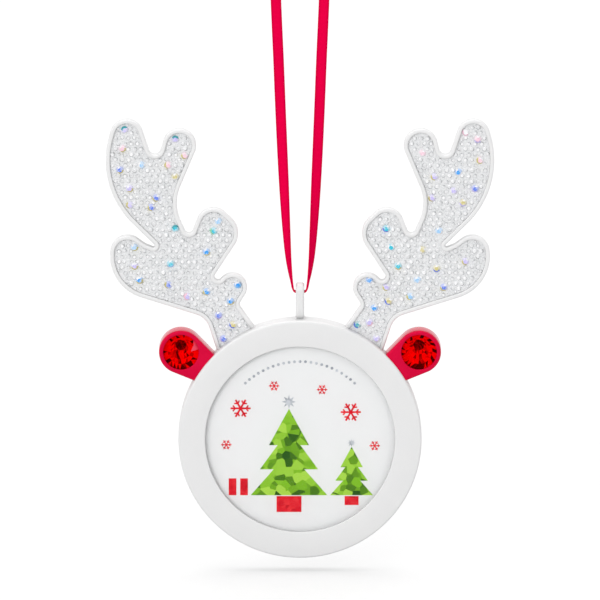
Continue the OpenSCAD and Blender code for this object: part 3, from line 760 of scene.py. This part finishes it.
def stone_crown():
    """Crown and girdle of the ear stone, closed below by the girdle's face."""
    top = GIRDLE_Z
    points = [
        *around(8, EAR_STONE_R * TABLE_SHARE, 0, top + CROWN),
        *around(8, EAR_STONE_R * STAR_SHARE, 22.5, top + CROWN * STAR_RISE),
        *around(16, EAR_STONE_R, 0, top), *around(16, EAR_STONE_R, 0, top - GIRDLE)]
    table, star, girdle, under = 0, 8, 16, 32
    faces = [[table + k for k in range(8)]]
    for k in range(8):
        faces += [
            [table + k, table + (k + 1) % 8, star + k],
            [table + k, star + k, girdle + 2 * k], [table + k, girdle + 2 * k, star + (k + 7) % 8],
            [star + k, girdle + 2 * k + 1, girdle + 2 * k],
            [star + k, girdle + (2 * k + 2) % 16, girdle + 2 * k + 1]]
    faces += [[girdle + k, girdle + (k + 1) % 16, under + (k + 1) % 16, under + k] for k in range(16)]
    return points, faces


def stone_foil(dice):
    """Foiled facets behind the crown, in the places where the crown's glass shows them, and their tints of
    painted reflection and shade.
    """
    top = GIRDLE_Z - GIRDLE
    r = EAR_STONE_R
    rings = [around(count, r * share, turn, top - depth, lift)
             for count, share, turn, depth, lift in FOIL_RINGS]
    counts = [len(ring) for ring in rings]
    start = [sum(counts[:i]) for i in range(len(counts) + 1)]
    depth, lift = FOIL_MIDDLE
    points = [p for ring in rings for p in ring] + around(1, 0, 0, top - depth, lift)
    up = math.radians(90 - EAR_ANGLE)
    black, dim, mid, bright = (0.0, 0.05), (0.15, 0.35), (0.4, 0.65), (0.8, 1.0)
    faces, tints = [], []

    def facet(corners, shades):
        # Facets low down in the stone draw more black and dim tints: painted shade
        x, y = (sum(points[c][i] for c in corners) / 3 for i in (0, 1))
        drop = -(x - EAR_AT) * math.cos(up) - y * math.sin(up)
        low, high = dice.choice(shades + [black, dim, dim] if drop > r * 0.55 else shades)
        faces.append(corners)
        tints.append(dice.uniform(low, high))

    # Tints of the foil's bands of facets, from the girdle inwards: painted reflection and shade
    painted_light_bands = [[black, bright, bright, bright], [bright, bright, bright, mid], [bright, mid, dim, bright],
             [mid, dim, bright], [dim, black, dim]]
    for j, shades in enumerate(painted_light_bands):
        join_rings(facet, start[j], counts[j], start[j + 1], counts[j + 1], shades)
    # Dim and black facets round the middle: a painted dark centre
    for k in range(counts[-1]):
        facet([start[-2] + k, start[-2] + (k + 1) % counts[-1], start[-1]], [dim, dim, black])
    return points, faces, tints


def join_rings(facet, outer, outer_count, inner, inner_count, shades):
    """Triangles between two rings of points that differ in count."""
    i = j = 0
    while i < outer_count or j < inner_count:
        a, b = outer + i % outer_count, inner + j % inner_count
        if j == inner_count or (i < outer_count and i / outer_count <= j / inner_count):
            i += 1
            facet([a, outer + i % outer_count, b], shades)
        else:
            j += 1
            facet([a, inner + j % inner_count, b], shades)


def stone_back():
    """The stone's deep pavilion, which its foil hides from the front."""
    low = GIRDLE_Z - GIRDLE
    points = [*around(16, EAR_STONE_R, 0, low),
              *around(8, EAR_STONE_R * KEEL_SHARE, 0, low - PAVILION * KEEL_DROP),
              (EAR_AT, 0, low - PAVILION)]
    faces = []
    for k in range(8):
        faces += [[2 * k, 2 * k + 1, 16 + k], [2 * k + 1, 16 + (k + 1) % 8, 16 + k],
                  [2 * k + 1, (2 * k + 2) % 16, 16 + (k + 1) % 8], [16 + k, 16 + (k + 1) % 8, 24]]
    return points, faces


def make_ears():
    for name, side in SIDES.items():
        dice = random.Random(f"{name} ear")
        piece(f"{name}_ear_cup", *ear_setting(side), ["red_lacquer"], [f"{name}_ear_setting"])
        part = ([], [])
        add_part(part, *stone_crown())
        crown_faces = len(part[1])
        foil_points, foil_faces, foil_painted_light = stone_foil(dice)
        add_part(part, foil_points, foil_faces)
        add_part(part, *stone_back())
        back_faces = len(part[1]) - crown_faces - len(foil_faces)
        painted_glint = PAINTED_GLINTS[name]
        # Crown facets in the glint list get a painted glint; the foil's tints are painted reflection and
        # shade
        tints = [1.0 if k in painted_glint else 0.0 for k in range(crown_faces)] + foil_painted_light + [0.5] * back_faces
        stone = piece(
            f"{name}_ear_stone", side_of(turned(part[0], EAR_ANGLE), side), part[1],
            ["red_crystal", "red_foil"], [f"{name}_ear_crystal"], sharp=0,
            picks=[0] * crown_faces + [1] * (len(part[1]) - crown_faces))
        give_tints(stone, tints)


def give_tints(obj, values):
    """Each face's own tint, from 0 to 1."""
    layer = obj.data.attributes.new("tint", "FLOAT", "FACE")
    layer.data.foreach_set("value", values)


# Stones of the antlers


def islands(node):
    """[x, y, radius] of each stone of a CAD node, in the flat drawing, from the top down."""
    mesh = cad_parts[node].data
    places = [tuple(round(c, 4) for c in flat(v.co)) for v in mesh.vertices]
    parent = {p: p for p in places}

    def root(p):
        while parent[p] != p:
            parent[p] = parent[parent[p]]
            p = parent[p]
        return p

    for face in mesh.polygons:
        first, *others = [places[i] for i in face.vertices]
        for p in others:
            parent[root(p)] = root(first)
    groups = {}
    for p in parent:
        groups.setdefault(root(p), []).append(p)
    out = []
    for group in groups.values():
        low = min(p[2] for p in group)
        girdle = [p for p in group if p[2] < low + 0.01]
        x, y = (sum(p[i] for p in girdle) / len(girdle) for i in (0, 1))
        out.append([x, y, max(math.dist((x, y), p[:2]) for p in girdle)])
    return sorted(out, key=lambda s: (-round(s[1], 1), s[0]))


# Shape of the small stones, as shares of their radius
STONE_BASE = 0.97
STONE_WALL = 0.16
STONE_RISE = 0.8
STONE_TABLE = 0.56
# Sides of each kind of stone, and how much wider than in the CAD a coated one is
CLEAR_SIDES = 6
AURORA_SIDES = 8
FINE_SIDES = 5
AURORA_GROWTH = 1.3
# Fine stones: places tried, radii, width of the bed's edge without them, and how far past its own radius
# each looks for other stones, in millimetres
FINE_TRIES = 6000
FINE_R = (0.22, 0.42)
FINE_EDGE = 0.3
FINE_REACH = 0.7


def cut_stone(x, y, r, turn, sides, split):
    """Small stone: a low wall up to its girdle, a crown of triangles and a flat table, split or whole."""
    def ring(radius, z, offset):
        return [(x + radius * math.cos(turn + 2 * math.pi * (k + offset) / sides),
                 y + radius * math.sin(turn + 2 * math.pi * (k + offset) / sides), z) for k in range(sides)]

    wide, top = BED_Z + r * STONE_WALL, BED_Z + r * STONE_RISE
    points = [*ring(r * STONE_BASE, BED_Z, 0), *ring(r, wide, 0), *ring(r * STONE_TABLE, top, 0.5),
              (x, y, top)]
    table = [2 * sides + k for k in range(sides)]
    faces = [list(range(sides))[::-1]]
    faces += [[table[k - 1], table[k], 3 * sides] for k in range(sides)] if split else [table]
    for k in range(sides):
        n = (k + 1) % sides
        faces += [[k, n, sides + n, sides + k], [sides + k, sides + n, table[k]],
                  [sides + n, table[n], table[k]]]
    return points if split else points[:-1], faces


def stone_piece(name, stones, sides, material, nodes, split=False):
    """One mesh of all the stones of a group: each row is [x, y, radius, turn]."""
    part = ([], [])
    for stone in stones:
        add_part(part, *cut_stone(*stone, sides, split))
    return piece(name, *part, [material], nodes, sharp=0)


def clear_painted_light(stones, sides, swing, dice):
    """Painted light and shade on clear stones' facets: a plain table, a crown lit on one side, a dark wall.
    """
    out = []
    for _, _, _, turn in stones:
        out += [0.5, 0.6 + swing * dice.choice((-0.5, -0.2, 0.3, 0.8))]
        light = dice.uniform(0, 2 * math.pi)
        for k in range(sides):
            shade = 0.55 + swing * math.cos(turn + 2 * math.pi * (k + 0.5) / sides - light)
            out += [0.1, shade, shade + dice.uniform(-0.1, 0.1)]
    return out


# Colours of the coated stones: each stone's middle, then the colour on one side of its rim
HUES = {
    "blue": (0.15, 0.25, 0.85), "azure": (0.05, 0.37, 0.93), "sky": (0.36, 0.64, 0.96),
    "cyan": (0.04, 0.58, 0.75), "lilac": (0.6, 0.54, 0.93), "pink": (0.95, 0.62, 0.74),
    # white also paints the highlights on coated stones' facets
    "gold": (0.68, 0.6, 0.25), "teal": (0.08, 0.42, 0.48), "white": (0.94, 0.94, 0.96),
    "green": (0.3, 0.7, 0.45),
}
AURORA = {
    "right": [
        "white pink", "pink lilac", "pink white", "pink gold", "azure white", "lilac gold", "blue lilac",
        "lilac white", "lilac gold", "gold lilac", "cyan blue", "sky white", "cyan white", "gold white",
        "lilac gold", "cyan gold", "gold blue", "azure white", "sky white", "lilac gold", "blue gold",
        "sky gold", "gold blue", "azure white", "lilac pink", "teal blue", "lilac white"],
    "left": [
        "lilac teal", "lilac teal", "pink gold", "pink gold", "sky white", "pink gold", "blue gold",
        "gold white", "lilac gold", "blue gold", "lilac gold", "blue gold", "sky white", "cyan teal",
        "cyan green", "sky gold", "azure gold", "cyan sky", "lilac gold", "azure gold", "blue gold",
        "azure sky", "azure gold", "lilac pink", "azure gold", "blue lilac", "gold blue", "blue lilac"],
}


def aurora_hues(names, turn, sides, dice):
    """Colours of one coated stone's facets: the coating's colours, with painted white highlights."""
    first, second = (HUES[n] for n in names.split())
    rim = 90 if names.endswith("teal") else dice.uniform(180, 300)
    out = [second]
    # Table facets, some mixed towards white as painted highlights
    for _ in range(sides):
        light = dice.choice((0, 0, 0.1, 0.35))
        out.append([c + (1 - c) * light for c in first])
    pale = [0.5 + c / 2 for c in first]
    # Crown facets: the rim colour on one side, painted white highlights on the far side, and a pale tone of
    # the middle between
    for k in range(sides):
        way = math.degrees(turn) + 360 * (k + 0.5) / sides
        off = abs((way - rim + 180) % 360 - 180)
        out += [second if off < 70 else HUES["white"] if off > 155 else pale] * 3
    return out


def fine_stones(outline, taken, dice):
    """Places of the fine stones that fill the gaps between the others."""
    tree = kdtree.KDTree(len(taken))
    for i, (x, y, _, _) in enumerate(taken):
        tree.insert((x, y, 0), i)
    tree.balance()
    radii = [r for _, _, r, _ in taken]
    low = [min(p[i] for p in outline) for i in (0, 1)]
    high = [max(p[i] for p in outline) for i in (0, 1)]
    out = []
    cells = {}
    for _ in range(FINE_TRIES):
        x, y = dice.uniform(low[0], high[0]), dice.uniform(low[1], high[1])
        r = dice.uniform(*FINE_R)
        if not inside(x, y, outline) or math.hypot(x, y) < RING_R + r:
            continue
        if any(d < radii[i] + r for _, i, d in tree.find_range((x, y, 0), r + FINE_REACH)):
            continue
        cell = (int(x), int(y))
        near = [s for i in (-1, 0, 1) for j in (-1, 0, 1) for s in cells.get((cell[0] + i, cell[1] + j), [])]
        if any(math.dist((x, y), s[:2]) < s[2] + r for s in near):
            continue
        cells.setdefault(cell, []).append((x, y, r))
        out.append([x, y, r, dice.uniform(0, math.pi)])
    return out


def make_pave():
    chain = antler_chain()
    for name, side in SIDES.items():
        dice = random.Random(name)
        clear = [[*s, dice.uniform(0, math.pi)] for s in islands(f"{name}_clear_stones")]
        aurora = [[x, y, r * AURORA_GROWTH, dice.uniform(0, math.pi)]
                  for x, y, r in islands(f"{name}_aurora_stones")]
        stones = stone_piece(
            f"{name}_clear_pave", clear, CLEAR_SIDES, "clear_crystal", [f"{name}_clear_stones"])
        give_tints(stones, clear_painted_light(clear, CLEAR_SIDES, 0.5, dice))
        coated = stone_piece(
            f"{name}_aurora_pave", aurora, AURORA_SIDES, "aurora_crystal", [f"{name}_aurora_stones"],
            split=True)
        hues = [hue for names, (_, _, _, turn) in zip(AURORA[name], aurora)
                for hue in aurora_hues(names, turn, AURORA_SIDES, dice)]
        layer = coated.data.attributes.new("hue", "FLOAT_COLOR", "FACE")
        layer.data.foreach_set("color", [c for h in hues for c in (*h, 1)])

        field = side_of(belt(chain, RIM_W + BED_GAP), side)
        bed = ([], [])
        rings = [[(x, y, z) for x, y in field] for z in (RECESS_Z, BED_Z)]
        add_part(bed, *loft(rings, closed=False))
        add_part(bed, *cap(field, RECESS_Z))
        add_part(bed, *cap(field, BED_Z))
        piece(f"{name}_resin_bed", *bed, ["stone_resin"], [f"{name}_stone_bed"])

        edge = side_of(belt(chain, RIM_W + FINE_EDGE), side)
        fine = fine_stones(edge, clear + aurora, dice)
        grains = stone_piece(f"{name}_fine_pave", fine, FINE_SIDES, "clear_crystal", [])
        give_tints(grains, clear_painted_light(fine, FINE_SIDES, 0.4, dice))


# Window, card, print and cover


def dress(node, material):
    """A CAD node that stays as it is, with its own material."""
    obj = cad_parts[node]
    obj.data.materials.clear()
    obj.data.materials.append(MATERIALS[material])


def make_picture():
    dress("window", "window_acrylic")
    dress("picture_card", "coated_card")
    dress("print_green", "green_ink")
    dress("print_red", "red_ink")
    dress("print_silver", "silver_ink")
    dress("back_cover", "white_lacquer")


# Ribbon


def smooth_route(controls, parts=6):
    """Catmull-Rom curve through rows of numbers, with that many parts between two rows."""
    rows = [[2 * a - b for a, b in zip(controls[0], controls[1])], *controls,
            [2 * a - b for a, b in zip(controls[-1], controls[-2])]]
    out = []
    for i in range(1, len(rows) - 2):
        p0, p1, p2, p3 = rows[i - 1:i + 3]
        for k in range(parts):
            t = k / parts
            out.append([0.5 * (2 * b + (c - a) * t + (2 * a - 5 * b + 4 * c - d) * t * t
                               + (3 * b - a - 3 * c + d) * t ** 3) for a, b, c, d in zip(p0, p1, p2, p3)])
    return [*out, rows[-2]]


# Section of the ribbon, as shares of half its width and half its thickness
STRAP = [
    (1, 0.45), (0.97, 0.85), (0.88, 1), (0.45, 1.04), (0, 1.06), (-0.45, 1.04), (-0.88, 1), (-0.97, 0.85),
    (-1, 0.45), (-1, -0.45), (-0.97, -0.85), (-0.88, -1), (-0.45, -0.96), (0, -0.94), (0.45, -0.96),
    (0.88, -1), (0.97, -0.85), (1, -0.45)]


def strap(name, centres, wides, widths, thick, nodes):
    """Flat ribbon along centres; wides gives the direction of its width at each."""
    count = len(STRAP)
    rings, lengths, travelled = [], [], 0.0
    for i, centre in enumerate(centres):
        ahead, behind = centres[min(i + 1, len(centres) - 1)], centres[max(i - 1, 0)]
        along = (ahead - behind).normalized()
        wide = (wides[i] - along * wides[i].dot(along)).normalized()
        thin = along.cross(wide)
        rings.append([tuple(centre + wide * (u * widths[i] / 2) + thin * (v * thick / 2)) for u, v in STRAP])
        lengths.append(travelled)
        if i + 1 < len(centres):
            travelled += (centres[i + 1] - centre).length
    points, faces = loft(rings, closed=False)
    faces += [list(range(count)), list(range(len(points) - count, len(points)))]
    obj = piece(name, points, faces, ["satin_ribbon"], nodes, sharp=50)
    uv = obj.data.uv_layers.new(name="UVMap")
    for loop in obj.data.loops:
        ring, k = divmod(loop.vertex_index, count)
        uv.data[loop.index].uv = (lengths[ring], k / count)
    return obj, travelled


def make_ribbon():
    right = smooth_route(ROUTE)
    left = [[-x, y, twist, width] for x, y, twist, width in right[:0:-1]]
    route = left + right
    centres = [Vector((x, y, EYE_Z)) for x, y, _, _ in route]
    wides = []
    for i, (_, _, twist, _) in enumerate(route):
        along = (centres[min(i + 1, len(route) - 1)] - centres[max(i - 1, 0)]).normalized()
        t = math.radians(twist)
        wides.append(Vector((-along.y * math.sin(t), along.x * math.sin(t), math.cos(t))))
    widths = [width for _, _, _, width in route]
    ribbon, length = strap("satin_loop", centres, wides, widths, RIBBON_T, ["ribbon"])
    return ribbon, centres, length * MM


def make_knot():
    """The knot keeps its CAD shape, in the ribbon's satin."""
    dress("ribbon_knot", "satin_ribbon")


# Floor and lights

# Floor: its drop below the ornament in millimetres, its width and its shift back in metres, its colour, and
# how bright the camera sees it
FLOOR_DROP = 3.0
FLOOR_WIDTH = 12
FLOOR_SHIFT = 2
FLOOR_COLOUR = 0.53
FLOOR_SEEN = 1.01
WORLD_LEVEL = 0.71
# Suns: [azimuth from the viewer's side, elevation, softness, level], where a surface that faces a sun of
# level 1 shows its own colour
SUNS = {"overhead": [180, 82, 60, 0.38], "front": [-20, 12, 45, 0.42]}


def seen_share(tree):
    """1 for what the camera, gloss or glass sees, and 0 for what lights a matt surface."""
    path = tree.nodes.new("ShaderNodeLightPath")
    total = path.outputs["Is Camera Ray"]
    for ray in ("Is Glossy Ray", "Is Transmission Ray"):
        either = tree.nodes.new("ShaderNodeMath")
        either.operation = "MAXIMUM"
        tree.links.new(total, either.inputs[0])
        tree.links.new(path.outputs[ray], either.inputs[1])
        total = either.outputs[0]
    return total


def seen_level(tree, low, high, target):
    """Sets a strength to low for what lights a matt surface, and to high for what is seen."""
    span = tree.nodes.new("ShaderNodeMapRange")
    span.inputs["To Min"].default_value = low
    span.inputs["To Max"].default_value = high
    tree.links.new(seen_share(tree), span.inputs["Value"])
    tree.links.new(span.outputs["Result"], target)


def make_floor():
    """Matt floor that the camera sees as white, apart from the ornament's shadow."""
    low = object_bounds()[0].z - FLOOR_DROP * MM
    bpy.ops.mesh.primitive_plane_add(size=FLOOR_WIDTH, location=(0, FLOOR_SHIFT, low))
    floor = bpy.context.object
    floor.name = "floor"
    m = new_material("floor", (FLOOR_COLOUR,) * 3, 1.0, Specular_IOR_Level=0.0)
    tree = m.node_tree
    _, elevation, _, level = SUNS["overhead"]
    light = level * math.sin(math.radians(elevation))
    glow = add_node(m, "ShaderNodeEmission")
    seen_level(tree, 0.0, FLOOR_SEEN - FLOOR_COLOUR * (WORLD_LEVEL + light), glow.inputs["Strength"])
    both = add_node(m, "ShaderNodeAddShader")
    join(m, tree.nodes["Principled BSDF"], "BSDF", both, 0)
    join(m, glow, "Emission", both, 1)
    join(m, both, "Shader", tree.nodes["Material Output"], "Surface")
    floor.data.materials.append(m)


def make_world():
    """White all round as the camera sees it, and a plain level of light."""
    world = bpy.data.worlds.new("studio")
    bpy.context.scene.world = world
    world.use_nodes = True
    back = world.node_tree.nodes["Background"]
    back.inputs["Color"].default_value = (1, 1, 1, 1)
    seen_level(world.node_tree, WORLD_LEVEL, 1.0, back.inputs["Strength"])


def make_lights():
    for name, (azimuth, elevation, softness, level) in SUNS.items():
        data = bpy.data.lights.new(name, "SUN")
        data.angle = math.radians(softness)
        data.energy = level * math.pi
        light = bpy.data.objects.new(name, data)
        a, e = math.radians(azimuth), math.radians(elevation)
        towards = Vector((math.sin(a) * math.cos(e), -math.cos(a) * math.cos(e), math.sin(e)))
        light.rotation_euler = towards.to_track_quat("Z", "Y").to_euler()
        bpy.context.scene.collection.objects.link(light)


make_camera()
ribbon, ribbon_line, ribbon_length = make_ribbon()
make_knot()
make_frame_body()
make_front_ring()
make_ears()
make_pave()
make_picture()
make_floor()
make_world()
make_lights()
bpy.context.scene.view_settings.view_transform = "Standard"
